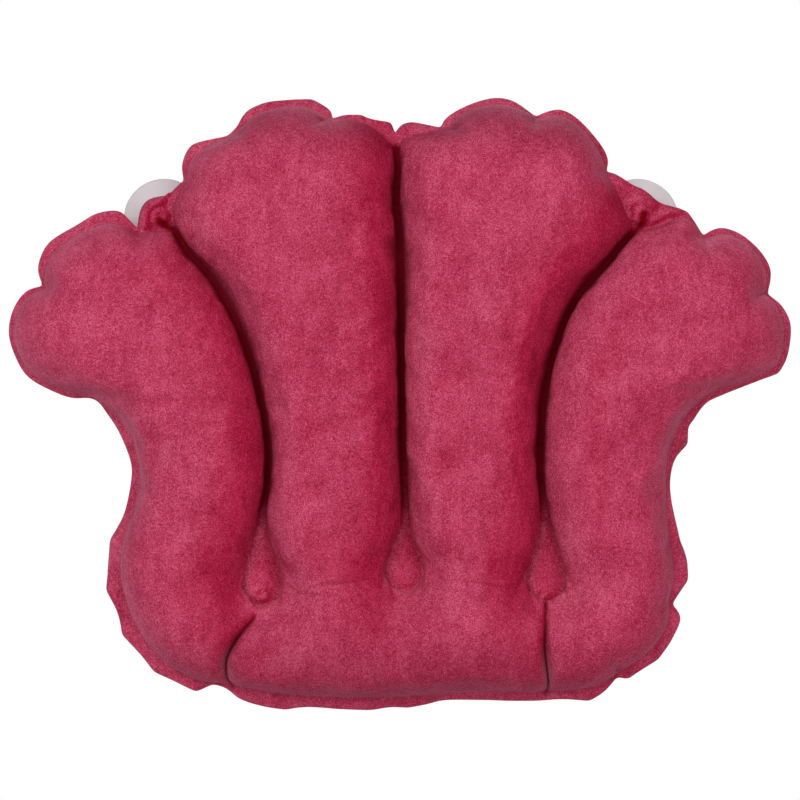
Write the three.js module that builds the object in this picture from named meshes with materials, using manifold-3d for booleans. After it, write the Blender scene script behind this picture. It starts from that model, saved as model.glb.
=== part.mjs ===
// Inflatable bath pillow in the shape of a scallop shell.
// Two sheets are welded together along their outline and along three seams. That leaves four air lobes,
// joined below by a bolster. Suction cups button through eyelets in the welded webs and islands, and a
// push-in valve with a stopper sits on the back of one inner lobe.
// X runs across the pillow, Z up, and Y from the bather to the tub wall, which is the plane Y = 0.
// The origin lies on the wall, in the middle of the four suction cups.
import * as THREE from 'three';
import { mergeVertices } from 'three/addons/utils/BufferGeometryUtils.js';
import Module from 'manifold-3d';

const wasm = await Module();
wasm.setup();

// Fits, in millimetres as all lengths here
const FIT = 0.3; // gap between pieces that touch
const MERGE = 0.001; // vertices closer than this are one

// Sheets and how far they swell from the weld
const FRONT_SHEET = 1.6; // vinyl film with its terry face
const BACK_SHEET = 0.9; // plain vinyl film
const WELD_TO_WALL = 28; // the cups hold the weld this far off the wall
const FRONT_HEAD_CROWN = 44;
const FRONT_BASE_CROWN = 30;
const BACK_HEAD_CROWN = 22.5;
const BACK_BASE_CROWN = 18.5;
const FRONT_FULLNESS = 0.8; // a lobe's section is a half ellipse at 1 and squarer below
const BACK_FULLNESS = 0.4; // the wall presses the back flat
const FRONT_FADE = 20; // a valley runs out this far below its island
const BACK_FADE = 42;

// Weld line of the right half: the left half mirrors it
const BASE_Z = -175.5;
const BASE_SAG = 2.5; // the foot of each lobe bows down this much
const BASE_CORNER = new THREE.Vector2(148, -154);
const HIP = new THREE.Vector2(171, -104);
const WAIST = new THREE.Vector2(161, -44);
const INNER_HEAD = new THREE.Vector2(57, 100);
const INNER_HEAD_RADIUS = 82;
const INNER_HEAD_ARC = [112, 22]; // degrees, from the notch to the web
const OUTER_HEAD_OUT = 186; // from the middle of the pillow
const OUTER_HEAD_UP = 58;
const OUTER_HEAD = new THREE.Vector2(OUTER_HEAD_OUT, OUTER_HEAD_UP);
const OUTER_HEAD_RADIUS = 47;
const OUTER_HEAD_ARC = [100, -20]; // from the web to the tip
const SIDE_ARC = [-62, -20]; // from the armpit to the tip
const ARMPIT = new THREE.Vector2(-4, -54).add(OUTER_HEAD);
const NOTCH_Z = 161; // top of the weld between the two inner lobes

// Welded seams between the lobes, each with a teardrop island at its lower end
const SEAM_HALF = 2.5;
const ISLAND_RADIUS = 12.5;
const ISLAND_HEIGHT = 46;
const CENTRE_ISLAND_Z = -115; // lowest point of the island
const OUTER_ISLAND_Z = -124;
const SEAM_FOOT_X = 86;
const SEAM_POINTS = [
  new THREE.Vector2(84, -50),
  new THREE.Vector2(85, -8),
  new THREE.Vector2(97, 42),
  new THREE.Vector2(119, 82),
];
const WEB = new THREE.Vector2(138, 105); // upper end of the outer seam
const WEB_HALF = 8;
const WEB_LENGTH = 45; // the seam widens into the web over this height

// Welded flange round the outline
const FLANGE = 9;
const HEAD_FLANGE = 5;
const PETAL_RISE = 6;
const INNER_PETALS = 3;
const OUTER_PETALS = 2;

// Suction cups
const CUP_RADIUS = 25.4;
const CUP_LIP = 2; // width of the flat rim that meets the wall
const CUP_EDGE = 0.8; // thickness of that rim
const CUP_APEX = 15; // depth of the hollow
const HOLLOW_CURVE = 1.6;
const BELL_CURVE = 1.15;
const CUP_SHOULDER_RADIUS = 6.5;
const CUP_SHOULDER = 6.5;
const CUP_NECK_RADIUS = 2.8;
const CUP_BUTTON_RADIUS = 4.2;
const CUP_BUTTON = 2;
const KNOB_WALL = 1; // terry round a button
const WEB_TO_CUP = new THREE.Vector2(10, 11); // from the end of the seam
const ISLAND_TO_CUP = 8; // above the lowest point of the island
const BELL_CLEAR = 4; // the bells dent the lobes, which stay this far off them
const UPPER_CUP = WEB_TO_CUP.clone().add(WEB);
const LOWER_CUP = new THREE.Vector2(SEAM_FOOT_X, OUTER_ISLAND_Z + ISLAND_TO_CUP);
const WEB_TAB = 13; // sheet left round an upper eyelet

// Valve
const VALVE_UP = 262; // height of the valve above the base, along the lobe
const LAND = 3; // least depth of the flat land that the valve is welded to
const LAND_RISE = 0.3; // the land stands this much proud of the lobe's crest
const LAND_BORDER = 2;
const BASE_FLANGE_RADIUS = 14;
const BASE_FLANGE = 1.2;
const BASE_LIP = 1;
const BASE_LIP_WIDTH = 2;
const COLLAR_WALL = 1.6;
const COLLAR_DEPTH = 3; // collar below the base flange
const STEM_RADIUS = 6.2;
const STEM_BORE = 3.4;
const STEM_RIM = 1.3;
const STEM_RIM_RADIUS = 8.2;
const STEM_TRAVEL = 12;
const BARB = 1.6;
const BARB_RISE = 1.1;
const PLUG_HEAD = 1.4;
const PLUG_HEAD_RADIUS = 6.6;
const PLUG_PIN = 9;
const STRAP_WIDTH = 4;
const STRAP_THICK = 0.8;
const STRAP_LEG = 13;
const FLAP_RADIUS = 4.6;
const FLAP_THICK = 0.8;

// Lengths over which the bolster and the heads round to their weld
const BASE_CLOSE = 34;
const HEAD_CLOSE = 62;

// Facets
const LOBE_COLUMNS = 6;
const BASE_ROWS = 3;
const ISLAND_STEPS = [-1, 0, 0.3, 1, 2.4]; // rows beside an island, in island radii above its foot
const TUBE_ROWS = 4;
const HEAD_ROWS = 4;
const HEAD_POINTS = 4;
const PETAL_STEPS = 4;
const TAB_STEPS = 5;
const SIDE_STEPS = 12;
const FOOT_STEPS = 3;
const BELL_STEPS = 4;
const EYELET_STEPS = 8;
const LAND_STEPS = 10;
const STRAP_STEPS = 6;
const ROUND_STEPS = 24;

// Merge the vertices that coincide and drop the triangles that this collapses.
function merged(geometry) {
  const bare = geometry.clone();
  bare.deleteAttribute('normal');
  bare.deleteAttribute('uv');
  const joined = mergeVertices(bare, MERGE);
  const corners = joined.index.array;
  const triangles = [];
  for (let i = 0; i < corners.length; i += 3) {
    const [a, b, c] = corners.slice(i, i + 3);
    if (a !== b && b !== c && c !== a) {
      triangles.push(a, b, c);
    }
  }
  return joined.setIndex(triangles);
}

// Turn a closed geometry into a solid for cutting and joining, and back.
function toSolid(geometry) {
  const joined = merged(geometry);
  const mesh = new wasm.Mesh({
    numProp: 3,
    vertProperties: new Float32Array(joined.attributes.position.array),
    triVerts: new Uint32Array(joined.index.array),
  });
  return new wasm.Manifold(mesh);
}

function toGeometry(solid) {
  const mesh = solid.getMesh();
  const geometry = new THREE.BufferGeometry();
  geometry.setAttribute('position', new THREE.BufferAttribute(mesh.vertProperties, 3));
  geometry.setIndex(new THREE.BufferAttribute(mesh.triVerts, 1));
  geometry.computeVertexNormals();
  return geometry;
}

// A short cylinder along Y
function disc(x, z, radius, middleY, length, steps = ROUND_STEPS) {
  return new THREE.CylinderGeometry(radius, radius, length, steps).translate(x, middleY, z);
}

// A body of revolution about Y. The profile runs out along its wall end and back along the other, in
// pairs of radius and y.
function revolve(profile) {
  const points = profile.map(([radius, y]) => new THREE.Vector2(radius, y));
  return new THREE.LatheGeometry(points.reverse(), ROUND_STEPS);
}

// Points along an arc in the plan, which has x and z for its axes
function arcPoints(centre, radius, fromDegrees, toDegrees, steps) {
  const points = [];
  for (let i = 0; i <= steps; i += 1) {
    const angle = THREE.MathUtils.degToRad(THREE.MathUtils.lerp(fromDegrees, toDegrees, i / steps));
    points.push(new THREE.Vector2(radius * Math.cos(angle), radius * Math.sin(angle)).add(centre));
  }
  return points;
}

const centreSeam = new THREE.LineCurve(new THREE.Vector2(0, BASE_Z), new THREE.Vector2(0, NOTCH_Z));
const outerSeam = new THREE.SplineCurve([
  new THREE.Vector2(SEAM_FOOT_X, BASE_Z),
  new THREE.Vector2(SEAM_FOOT_X, OUTER_ISLAND_Z),
  ...SEAM_POINTS,
  WEB,
]);
const lobeLength = centreSeam.getLength();

// A foot line that bows down between two points
function bowed(from, to) {
  const down = new THREE.Vector2(to.y - from.y, from.x - to.x).normalize();
  const middle = from.clone().lerp(to, 0.5).addScaledVector(down, 2 * BASE_SAG);
  return new THREE.QuadraticBezierCurve(from, middle, to);
}

// Half the width of a seam at height z. Below its island the lobes run into one another.
function seamHalf(z, islandZ) {
  const rise = z - islandZ;
  if (rise <= 0) {
    return 0;
  }
  if (rise < ISLAND_RADIUS) {
    return Math.sqrt(ISLAND_RADIUS ** 2 - (ISLAND_RADIUS - rise) ** 2);
  }
  const taper = THREE.MathUtils.smoothstep(rise, ISLAND_RADIUS, ISLAND_HEIGHT);
  return THREE.MathUtils.lerp(ISLAND_RADIUS, SEAM_HALF, taper);
}

// The plan of the two lobes of the right half, with all their edges moved in by an inset. A lobe has a rail
// on its left and right, given by the share of its length, and a curve round its head.
function lobePlans(inset) {
  const foot = inset / lobeLength;

  function widened(half) {
    return half + Math.min(inset, half);
  }

  function centreRail(share) {
    const point = centreSeam.getPointAt(THREE.MathUtils.lerp(foot, 1 - foot, share));
    point.x += widened(seamHalf(point.y, CENTRE_ISLAND_Z));
    return point;
  }

  function outerRail(share, direction) {
    const point = outerSeam.getPointAt(THREE.MathUtils.lerp(foot, 1 - foot, share));
    const web = THREE.MathUtils.smoothstep(point.y, WEB.y - WEB_LENGTH, WEB.y);
    point.x += direction * widened(THREE.MathUtils.lerp(seamHalf(point.y, OUTER_ISLAND_Z), WEB_HALF, web));
    return point;
  }

  const innerHead = new THREE.SplineCurve([
    centreRail(1),
    ...arcPoints(INNER_HEAD, INNER_HEAD_RADIUS - inset, ...INNER_HEAD_ARC, HEAD_POINTS),
    outerRail(1, -1),
  ]);
  const outerHead = new THREE.SplineCurve([
    outerRail(1, 1),
    ...arcPoints(OUTER_HEAD, OUTER_HEAD_RADIUS - inset, ...OUTER_HEAD_ARC, HEAD_POINTS),
  ]);
  const side = new THREE.SplineCurve([
    BASE_CORNER,
    HIP,
    WAIST,
    ARMPIT,
    ...arcPoints(OUTER_HEAD, OUTER_HEAD_RADIUS, ...SIDE_ARC, 2),
  ]);

  function sideRail(share) {
    const point = side.getPointAt(share);
    const tangent = side.getTangentAt(share);
    return point.add(new THREE.Vector2(-tangent.y, tangent.x).multiplyScalar(inset));
  }

  const centre = { curve: centreSeam, islandZ: CENTRE_ISLAND_Z };
  const outer = { curve: outerSeam, islandZ: OUTER_ISLAND_Z };
  const inner = {
    left: centreRail,
    right: (share) => outerRail(share, -1),
    foot: bowed(centreRail(0), outerRail(0, -1)),
    head: innerHead,
    leftSeam: centre,
    rightSeam: outer,
  };
  const flank = {
    left: (share) => outerRail(share, 1),
    right: sideRail,
    foot: bowed(outerRail(0, 1), sideRail(0)),
    head: outerHead,
    leftSeam: outer,
    rightSeam: null,
  };
  return { inner, flank, side };
}

// A point of a lobe's plan, blended from its four edges
function lobePoint(lobe, across, along) {
  const rails = lobe.left(along).lerp(lobe.right(along), across);
  const ends = lobe.foot.getPointAt(across).lerp(lobe.head.getPointAt(across), along);
  const lowStraight = lobe.left(0).lerp(lobe.right(0), across);
  const highStraight = lobe.left(1).lerp(lobe.right(1), across);
  return rails.add(ends).sub(lowStraight.lerp(highStraight, along));
}

// How deep the valley of a seam is, from 0 in the bolster to 1 beside the seam. A side edge is always 1.
function valley(seam, share, fade) {
  if (!seam) {
    return 1;
  }
  const z = seam.curve.getPointAt(share).y;
  return THREE.MathUtils.smoothstep(z, seam.islandZ - fade, seam.islandZ + ISLAND_RADIUS / 4);
}

// Rows of the lobes: the share of their length and how far they have swollen there
function lobeRows() {
  const rows = [];
  for (let i = 0; i < BASE_ROWS; i += 1) {
    const angle = (Math.PI / 2) * (i / BASE_ROWS);
    rows.push({ along: (BASE_CLOSE * (1 - Math.cos(angle))) / lobeLength, swell: Math.sin(angle) });
  }
  rows.push({ along: BASE_CLOSE / lobeLength, swell: 1 });
  for (const step of ISLAND_STEPS) {
    rows.push({ along: (CENTRE_ISLAND_Z - BASE_Z + step * ISLAND_RADIUS) / lobeLength, swell: 1 });
  }
  const tubeFrom = rows.at(-1).along;
  const tubeTo = 1 - HEAD_CLOSE / lobeLength;
  for (let i = 1; i < TUBE_ROWS; i += 1) {
    rows.push({ along: THREE.MathUtils.lerp(tubeFrom, tubeTo, i / TUBE_ROWS), swell: 1 });
  }
  for (let i = HEAD_ROWS; i >= 0; i -= 1) {
    const angle = (Math.PI / 2) * (i / HEAD_ROWS);
    rows.push({ along: 1 - (HEAD_CLOSE * (1 - Math.cos(angle))) / lobeLength, swell: Math.sin(angle) });
  }
  return rows;
}

// One face of a sheet as rows of points with x, the level above the weld, and z. The four lobes stand side
// by side, and the strips between them are flat.
function faceGrid(form, inset, flatLevel) {
  const { inner, flank } = lobePlans(inset);
  const lobes = [
    { lobe: flank, mirror: -1 },
    { lobe: inner, mirror: -1 },
    { lobe: inner, mirror: 1 },
    { lobe: flank, mirror: 1 },
  ];
  return lobeRows().map(({ along, swell }) => {
    const crown = THREE.MathUtils.lerp(form.baseCrown, form.headCrown, along) * swell ** form.fullness;
    const row = [];
    for (const { lobe, mirror } of lobes) {
      for (let i = 0; i <= LOBE_COLUMNS; i += 1) {
        const column = mirror > 0 ? i : LOBE_COLUMNS - i;
        const angle = (Math.PI * column) / LOBE_COLUMNS;
        const plan = lobePoint(lobe, (1 - Math.cos(angle)) / 2, along);
        const seam = 2 * column < LOBE_COLUMNS ? lobe.leftSeam : lobe.rightSeam;
        const round = Math.sin(angle) ** form.fullness;
        const section = THREE.MathUtils.lerp(1, round, valley(seam, along, form.fade));
        const rise = Math.min(crown * section, form.ceiling(plan));
        row.push(new THREE.Vector3(mirror * plan.x, flatLevel + rise, plan.y));
      }
    }
    return row;
  });
}

// Triangles of a grid, seen from the side to which it swells
function gridTriangles(grid) {
  const corners = [];
  for (let row = 0; row + 1 < grid.length; row += 1) {
    for (let i = 0; i + 1 < grid[row].length; i += 1) {
      const [a, b, c, d] = [grid[row][i], grid[row + 1][i], grid[row][i + 1], grid[row + 1][i + 1]];
      corners.push(a, b, c, c, b, d);
    }
  }
  return corners;
}

// The free edge of a grid, as a loop without doubled points
function rimLoop(grid) {
  const left = grid.map((row) => row[0]).slice(1, -1).reverse();
  const right = grid.map((row) => row.at(-1)).slice(1, -1);
  const loop = [...grid[0], ...right, ...grid.at(-1).slice().reverse(), ...left];
  return loop.filter((point, i) => point.distanceTo(loop.at(i - 1)) > MERGE);
}

// Outline of the flange: the weld line moved out, with petals round the heads and tabs at the webs
function flangePoint(curve, share, distance, turn) {
  const tangent = curve.getTangentAt(share);
  const outward = new THREE.Vector2(turn * tangent.y, -turn * tangent.x);
  const point = curve.getPointAt(share).addScaledVector(outward, distance);
  point.x = Math.max(point.x, 0);
  return point;
}

// Petals from one end of a head, as far as the tab at the web
function petalPoints(head, petals, fromShare, toShare) {
  const points = [];
  const steps = petals * PETAL_STEPS;
  for (let i = 0; i <= steps; i += 1) {
    const rise = PETAL_RISE * Math.abs(Math.sin((Math.PI * i) / PETAL_STEPS));
    const share = THREE.MathUtils.lerp(fromShare, toShare, i / steps);
    points.push(flangePoint(head, share, HEAD_FLANGE + rise, -1));
  }
  const tabFrom = points.findIndex((point) => point.distanceTo(UPPER_CUP) <= WEB_TAB);
  return points.slice(0, tabFrom);
}

function tabAngle(point) {
  return THREE.MathUtils.radToDeg(Math.atan2(point.y - UPPER_CUP.y, point.x - UPPER_CUP.x));
}

function flangeOutline() {
  const { inner, flank, side } = lobePlans(0);
  const right = [new THREE.Vector2(0, BASE_Z - FLANGE)];
  for (let i = 1; i < FOOT_STEPS; i += 1) {
    right.push(flangePoint(inner.foot, i / FOOT_STEPS, FLANGE, 1));
  }
  for (let i = 1; i < FOOT_STEPS; i += 1) {
    right.push(flangePoint(flank.foot, i / FOOT_STEPS, FLANGE, 1));
  }
  for (let i = 0; i < SIDE_STEPS; i += 1) {
    right.push(flangePoint(side, i / SIDE_STEPS, FLANGE, 1));
  }
  const outerPetals = petalPoints(flank.head, OUTER_PETALS, 1, 0);
  const innerPetals = petalPoints(inner.head, INNER_PETALS, 0, 1).reverse();
  const tabFrom = tabAngle(outerPetals.at(-1));
  const tabTo = tabAngle(innerPetals[0]);
  const tab = arcPoints(UPPER_CUP, WEB_TAB, tabFrom, tabTo, TAB_STEPS);
  right.push(...outerPetals, ...tab.slice(1, -1), ...innerPetals);
  const left = right.slice(1, -1).reverse().map((point) => new THREE.Vector2(-point.x, point.y));
  return [...right, ...left];
}

// The flat ring between the outline and the lobes
function flangeTriangles(outline, rim, level) {
  const hole = rim.map((point) => new THREE.Vector2(point.x, point.z));
  const points = [...outline, ...hole];
  const corners = [];
  for (const triangle of THREE.ShapeUtils.triangulateShape(outline.slice(), [hole])) {
    const [a, b, c] = triangle.map((i) => points[i]);
    const ring = THREE.ShapeUtils.area([a, b, c]) > 0 ? [a, c, b] : [a, b, c];
    corners.push(...ring.map((point) => new THREE.Vector3(point.x, level, point.y)));
  }
  return corners;
}

// Inner face of a sheet where it is welded
function weldFace(form) {
  return -WELD_TO_WALL + (form.facing * FIT) / 2;
}

// One welded sheet: a flat flange with webs and islands, and lobes that swell out of it
function sheetGeometry(form) {
  const outline = flangeOutline();
  const face = faceGrid(form, 0, form.sheet);
  const lining = faceGrid(form, form.sheet, 0);
  const faceCorners = [...gridTriangles(face), ...flangeTriangles(outline, rimLoop(face), form.sheet)];
  const liningCorners = [...gridTriangles(lining), ...flangeTriangles(outline, rimLoop(lining), 0)];
  const corners = [...faceCorners, ...liningCorners.reverse()];
  outline.forEach((a, i) => {
    const b = outline[(i + 1) % outline.length];
    const [lowA, lowB] = [a, b].map((point) => new THREE.Vector3(point.x, 0, point.y));
    const [highA, highB] = [a, b].map((point) => new THREE.Vector3(point.x, form.sheet, point.y));
    corners.push(lowA, highA, lowB, lowB, highA, highB);
  });
  if (form.facing < 0) {
    corners.reverse();
  }
  const geometry = new THREE.BufferGeometry().setFromPoints(corners);
  return geometry.scale(1, form.facing, 1).translate(0, weldFace(form), 0);
}

// Places of the four suction cups
const cups = [
  { name: 'suction_cup_upper_left', x: -UPPER_CUP.x, z: UPPER_CUP.y },
  { name: 'suction_cup_upper_right', x: UPPER_CUP.x, z: UPPER_CUP.y },
  { name: 'suction_cup_lower_left', x: -LOWER_CUP.x, z: LOWER_CUP.y },
  { name: 'suction_cup_lower_right', x: LOWER_CUP.x, z: LOWER_CUP.y },
];

const frontForm = {
  sheet: FRONT_SHEET,
  baseCrown: FRONT_BASE_CROWN,
  headCrown: FRONT_HEAD_CROWN,
  fullness: FRONT_FULLNESS,
  ceiling: () => FRONT_HEAD_CROWN,
  fade: FRONT_FADE,
  facing: -1,
};
const backForm = {
  sheet: BACK_SHEET,
  baseCrown: BACK_BASE_CROWN,
  headCrown: BACK_HEAD_CROWN,
  fullness: BACK_FULLNESS,
  ceiling: underBell,
  fade: BACK_FADE,
  facing: 1,
};

// Level of a lobe's crest above the weld behind it, at a height above the base
function backCrest(up) {
  const crown = THREE.MathUtils.lerp(BACK_BASE_CROWN, BACK_HEAD_CROWN, up / lobeLength);
  const past = 1 - Math.min(1, (lobeLength - up) / HEAD_CLOSE);
  return crown * (1 - past ** 2) ** (BACK_FULLNESS / 2);
}

// Place of the valve: on the crest of the right inner lobe. The land reaches down to the lobe all round.
const valvePlan = lobePoint(lobePlans(0).inner, 0.5, VALVE_UP / lobeLength);
const landRadius = BASE_FLANGE_RADIUS + LAND_BORDER;
const landCrests = [-landRadius, 0, landRadius].map((step) => backCrest(VALVE_UP + step));
const landDepth = LAND + Math.max(...landCrests) - Math.min(...landCrests);
const landY = weldFace(backForm) + BACK_SHEET + Math.max(...landCrests) + LAND_RISE;
const collarBore = STEM_RADIUS + FIT;
const collarRadius = collarBore + COLLAR_WALL;

// Levels of a suction cup, from the bell to the front of the button
const shoulderY = weldFace(backForm) + BACK_SHEET + FIT;
const bellY = shoulderY + CUP_SHOULDER;
const buttonY = weldFace(backForm) - FIT;
const buttonFront = buttonY - CUP_BUTTON;

// Front of the bell, from its shoulder at 0 to its rim at 1
function bellFront(share) {
  return THREE.MathUtils.lerp(bellY, -CUP_EDGE, share ** BELL_CURVE);
}

// How far a lobe may rise from the weld under the bell of the nearest cup
function underBell(plan) {
  const away = Math.min(plan.distanceTo(UPPER_CUP), plan.distanceTo(LOWER_CUP)) - BELL_CLEAR;
  const share = Math.max(0, away - CUP_SHOULDER_RADIUS) / (CUP_RADIUS - CUP_SHOULDER_RADIUS);
  return bellFront(share) - weldFace(backForm) - BACK_SHEET;
}

// The terry face is drawn over each button as a knob, which is hollow behind
function frontSolid() {
  const recessRadius = CUP_BUTTON_RADIUS + 2 * FIT;
  const recessFront = buttonFront - FIT;
  const knob = weldFace(frontForm) - recessFront + FRONT_SHEET;
  let solid = toSolid(sheetGeometry(frontForm));
  for (const { x, z } of cups) {
    const cover = disc(x, z, recessRadius + KNOB_WALL, weldFace(frontForm) - knob / 2, knob, EYELET_STEPS);
    const recess = disc(x, z, recessRadius, weldFace(frontForm), 2 * (knob - FRONT_SHEET), EYELET_STEPS);
    solid = solid.add(toSolid(cover)).subtract(toSolid(recess));
  }
  return solid;
}

// The back sheet has an eyelet for each neck, and the land with the hole for the valve
function backSolid() {
  let solid = toSolid(sheetGeometry(backForm));
  for (const { x, z } of cups) {
    const eyelet = disc(x, z, CUP_NECK_RADIUS + 2 * FIT, weldFace(backForm), 4 * BACK_SHEET, EYELET_STEPS);
    solid = solid.subtract(toSolid(eyelet));
  }
  const { x, y: z } = valvePlan;
  const land = disc(x, z, landRadius, landY - landDepth / 2, landDepth, LAND_STEPS);
  const hole = disc(x, z, collarRadius + 2 * FIT, landY, 4 * landDepth, LAND_STEPS);
  return solid.add(toSolid(land)).subtract(toSolid(hole));
}

// Suction cup: a button between the sheets, a neck in the eyelet and a bell that opens to the wall
function cupGeometry() {
  const hollow = [];
  const bell = [];
  for (let i = 0; i <= BELL_STEPS; i += 1) {
    const share = i / BELL_STEPS;
    hollow.push([(CUP_RADIUS - CUP_LIP) * share, -CUP_APEX * (1 - share ** HOLLOW_CURVE)]);
    bell.push([THREE.MathUtils.lerp(CUP_SHOULDER_RADIUS, CUP_RADIUS, share), bellFront(share)]);
  }
  const button = [
    [CUP_NECK_RADIUS, shoulderY],
    [CUP_NECK_RADIUS, buttonY],
    [CUP_BUTTON_RADIUS, buttonY],
    [CUP_BUTTON_RADIUS, buttonY - CUP_BUTTON / 2],
    [CUP_NECK_RADIUS, buttonFront],
    [0, buttonFront],
  ];
  const shoulder = [CUP_SHOULDER_RADIUS, shoulderY];
  return revolve([...hollow, [CUP_RADIUS, 0], ...bell.reverse(), shoulder, ...button]);
}

// Valve: heights are measured from the outer face of the land
const lipTop = FIT + BASE_LIP;
const flangeTop = -landDepth - FIT;
const collarEnd = flangeTop - BASE_FLANGE - COLLAR_DEPTH;
const rimLow = lipTop + FIT;
const rimTop = rimLow + STEM_RIM;
const stemEnd = collarEnd - FIT - STEM_TRAVEL - BARB;
const headLow = rimTop + FIT;
const headTop = headLow + PLUG_HEAD;

function valveBase() {
  return revolve([
    [collarBore, lipTop],
    [collarRadius + BASE_LIP_WIDTH, lipTop],
    [collarRadius + BASE_LIP_WIDTH, FIT],
    [collarRadius, FIT],
    [collarRadius, flangeTop],
    [BASE_FLANGE_RADIUS, flangeTop],
    [BASE_FLANGE_RADIUS, flangeTop - BASE_FLANGE],
    [collarRadius, flangeTop - BASE_FLANGE],
    [collarRadius, collarEnd],
    [collarBore, collarEnd],
    [collarBore, lipTop],
  ]);
}

function valveStem() {
  return revolve([
    [STEM_BORE, rimTop],
    [STEM_RIM_RADIUS, rimTop],
    [STEM_RIM_RADIUS, rimLow],
    [STEM_RADIUS, rimLow],
    [STEM_RADIUS, stemEnd + BARB],
    [STEM_RADIUS + BARB_RISE, stemEnd + BARB],
    [STEM_RADIUS, stemEnd],
    [STEM_BORE, stemEnd],
    [STEM_BORE, rimTop],
  ]);
}

function valvePlug() {
  const pin = STEM_BORE - FIT;
  return revolve([
    [0, headTop],
    [PLUG_HEAD_RADIUS - PLUG_HEAD / 2, headTop],
    [PLUG_HEAD_RADIUS, headTop - PLUG_HEAD / 2],
    [PLUG_HEAD_RADIUS, headLow],
    [pin, headLow],
    [pin, headLow - PLUG_PIN + pin / 2],
    [pin / 2, headLow - PLUG_PIN],
    [0, headLow - PLUG_PIN],
  ]);
}

// A flat strap, folded into a narrow U that lies against the lobe
function plugStrap() {
  const lowLeg = rimLow + STEM_RIM / 2 - STRAP_THICK / 2;
  const highLeg = headLow + PLUG_HEAD / 2 - STRAP_THICK / 2;
  const bendX = STEM_RIM_RADIUS + FIT + STRAP_LEG;
  const middle = (lowLeg + highLeg + STRAP_THICK) / 2;
  const shape = new THREE.Shape();
  shape.moveTo(STEM_RIM_RADIUS + FIT, lowLeg);
  shape.lineTo(bendX, lowLeg);
  shape.absarc(bendX, middle, middle - lowLeg, -Math.PI / 2, Math.PI / 2, false);
  shape.lineTo(PLUG_HEAD_RADIUS + FIT, highLeg + STRAP_THICK);
  shape.lineTo(PLUG_HEAD_RADIUS + FIT, highLeg);
  shape.lineTo(bendX, highLeg);
  shape.absarc(bendX, middle, middle - lowLeg - STRAP_THICK, Math.PI / 2, -Math.PI / 2, true);
  shape.lineTo(STEM_RIM_RADIUS + FIT, lowLeg + STRAP_THICK);
  const settings = { depth: STRAP_WIDTH, bevelEnabled: false, curveSegments: STRAP_STEPS };
  return new THREE.ExtrudeGeometry(shape, settings).translate(0, 0, -STRAP_WIDTH / 2);
}

// A thin disc that hangs against the inner end of the stem
function checkFlap() {
  return disc(0, 0, FLAP_RADIUS, stemEnd - FIT - FLAP_THICK / 2, FLAP_THICK);
}

// Materials
function terry() {
  return new THREE.MeshStandardMaterial({ color: 0xb53a5b, roughness: 0.95, metalness: 0 });
}

function backVinyl() {
  return new THREE.MeshStandardMaterial({ color: 0xa8304f, roughness: 0.5, metalness: 0 });
}

function clearVinyl() {
  return new THREE.MeshStandardMaterial({ color: 0xd8d0d1, roughness: 0.25, metalness: 0 });
}

function piece(name, geometry, material) {
  const mesh = new THREE.Mesh(geometry, material);
  mesh.name = name;
  return mesh;
}

const pillow = new THREE.Group();
pillow.add(piece('front_panel', toGeometry(frontSolid()), terry()));
pillow.add(piece('back_panel', toGeometry(backSolid()), backVinyl()));
for (const cup of cups) {
  const mesh = piece(cup.name, cupGeometry(), clearVinyl());
  mesh.position.set(cup.x, 0, cup.z);
  pillow.add(mesh);
}

const valve = new THREE.Group();
valve.position.set(valvePlan.x, landY, valvePlan.y);
valve.add(piece('valve_base', valveBase(), clearVinyl()));
valve.add(piece('valve_stem', valveStem(), clearVinyl()));
valve.add(piece('valve_plug', valvePlug(), clearVinyl()));
valve.add(piece('plug_strap', plugStrap(), clearVinyl()));
valve.add(piece('check_flap', checkFlap(), clearVinyl()));
pillow.add(valve);

export default pillow;
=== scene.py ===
import math

import bmesh
import bpy
import numpy as np
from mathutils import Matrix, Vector, noise
from mathutils.geometry import delaunay_2d_cdt


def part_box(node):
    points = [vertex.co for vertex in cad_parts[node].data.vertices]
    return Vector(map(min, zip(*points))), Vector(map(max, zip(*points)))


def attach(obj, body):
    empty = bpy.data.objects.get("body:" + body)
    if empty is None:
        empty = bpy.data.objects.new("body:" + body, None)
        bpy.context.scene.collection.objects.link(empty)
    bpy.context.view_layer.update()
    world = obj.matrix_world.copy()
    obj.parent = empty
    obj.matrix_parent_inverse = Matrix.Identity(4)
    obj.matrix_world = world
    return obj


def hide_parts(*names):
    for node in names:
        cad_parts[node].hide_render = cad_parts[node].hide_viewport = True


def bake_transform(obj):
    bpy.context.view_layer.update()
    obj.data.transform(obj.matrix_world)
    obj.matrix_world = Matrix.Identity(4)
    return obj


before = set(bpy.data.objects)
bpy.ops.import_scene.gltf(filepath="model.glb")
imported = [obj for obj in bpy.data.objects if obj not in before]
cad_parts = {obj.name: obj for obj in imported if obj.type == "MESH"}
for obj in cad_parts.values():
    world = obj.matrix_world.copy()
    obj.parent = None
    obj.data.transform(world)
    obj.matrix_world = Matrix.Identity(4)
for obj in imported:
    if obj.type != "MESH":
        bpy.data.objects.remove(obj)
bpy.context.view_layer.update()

# Scale of the plan: the photograph looks straight at the front, and its pixels are this large
MM = 0.001
PIXEL = 0.615 * MM
MIDDLE = (401, 405)

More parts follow.
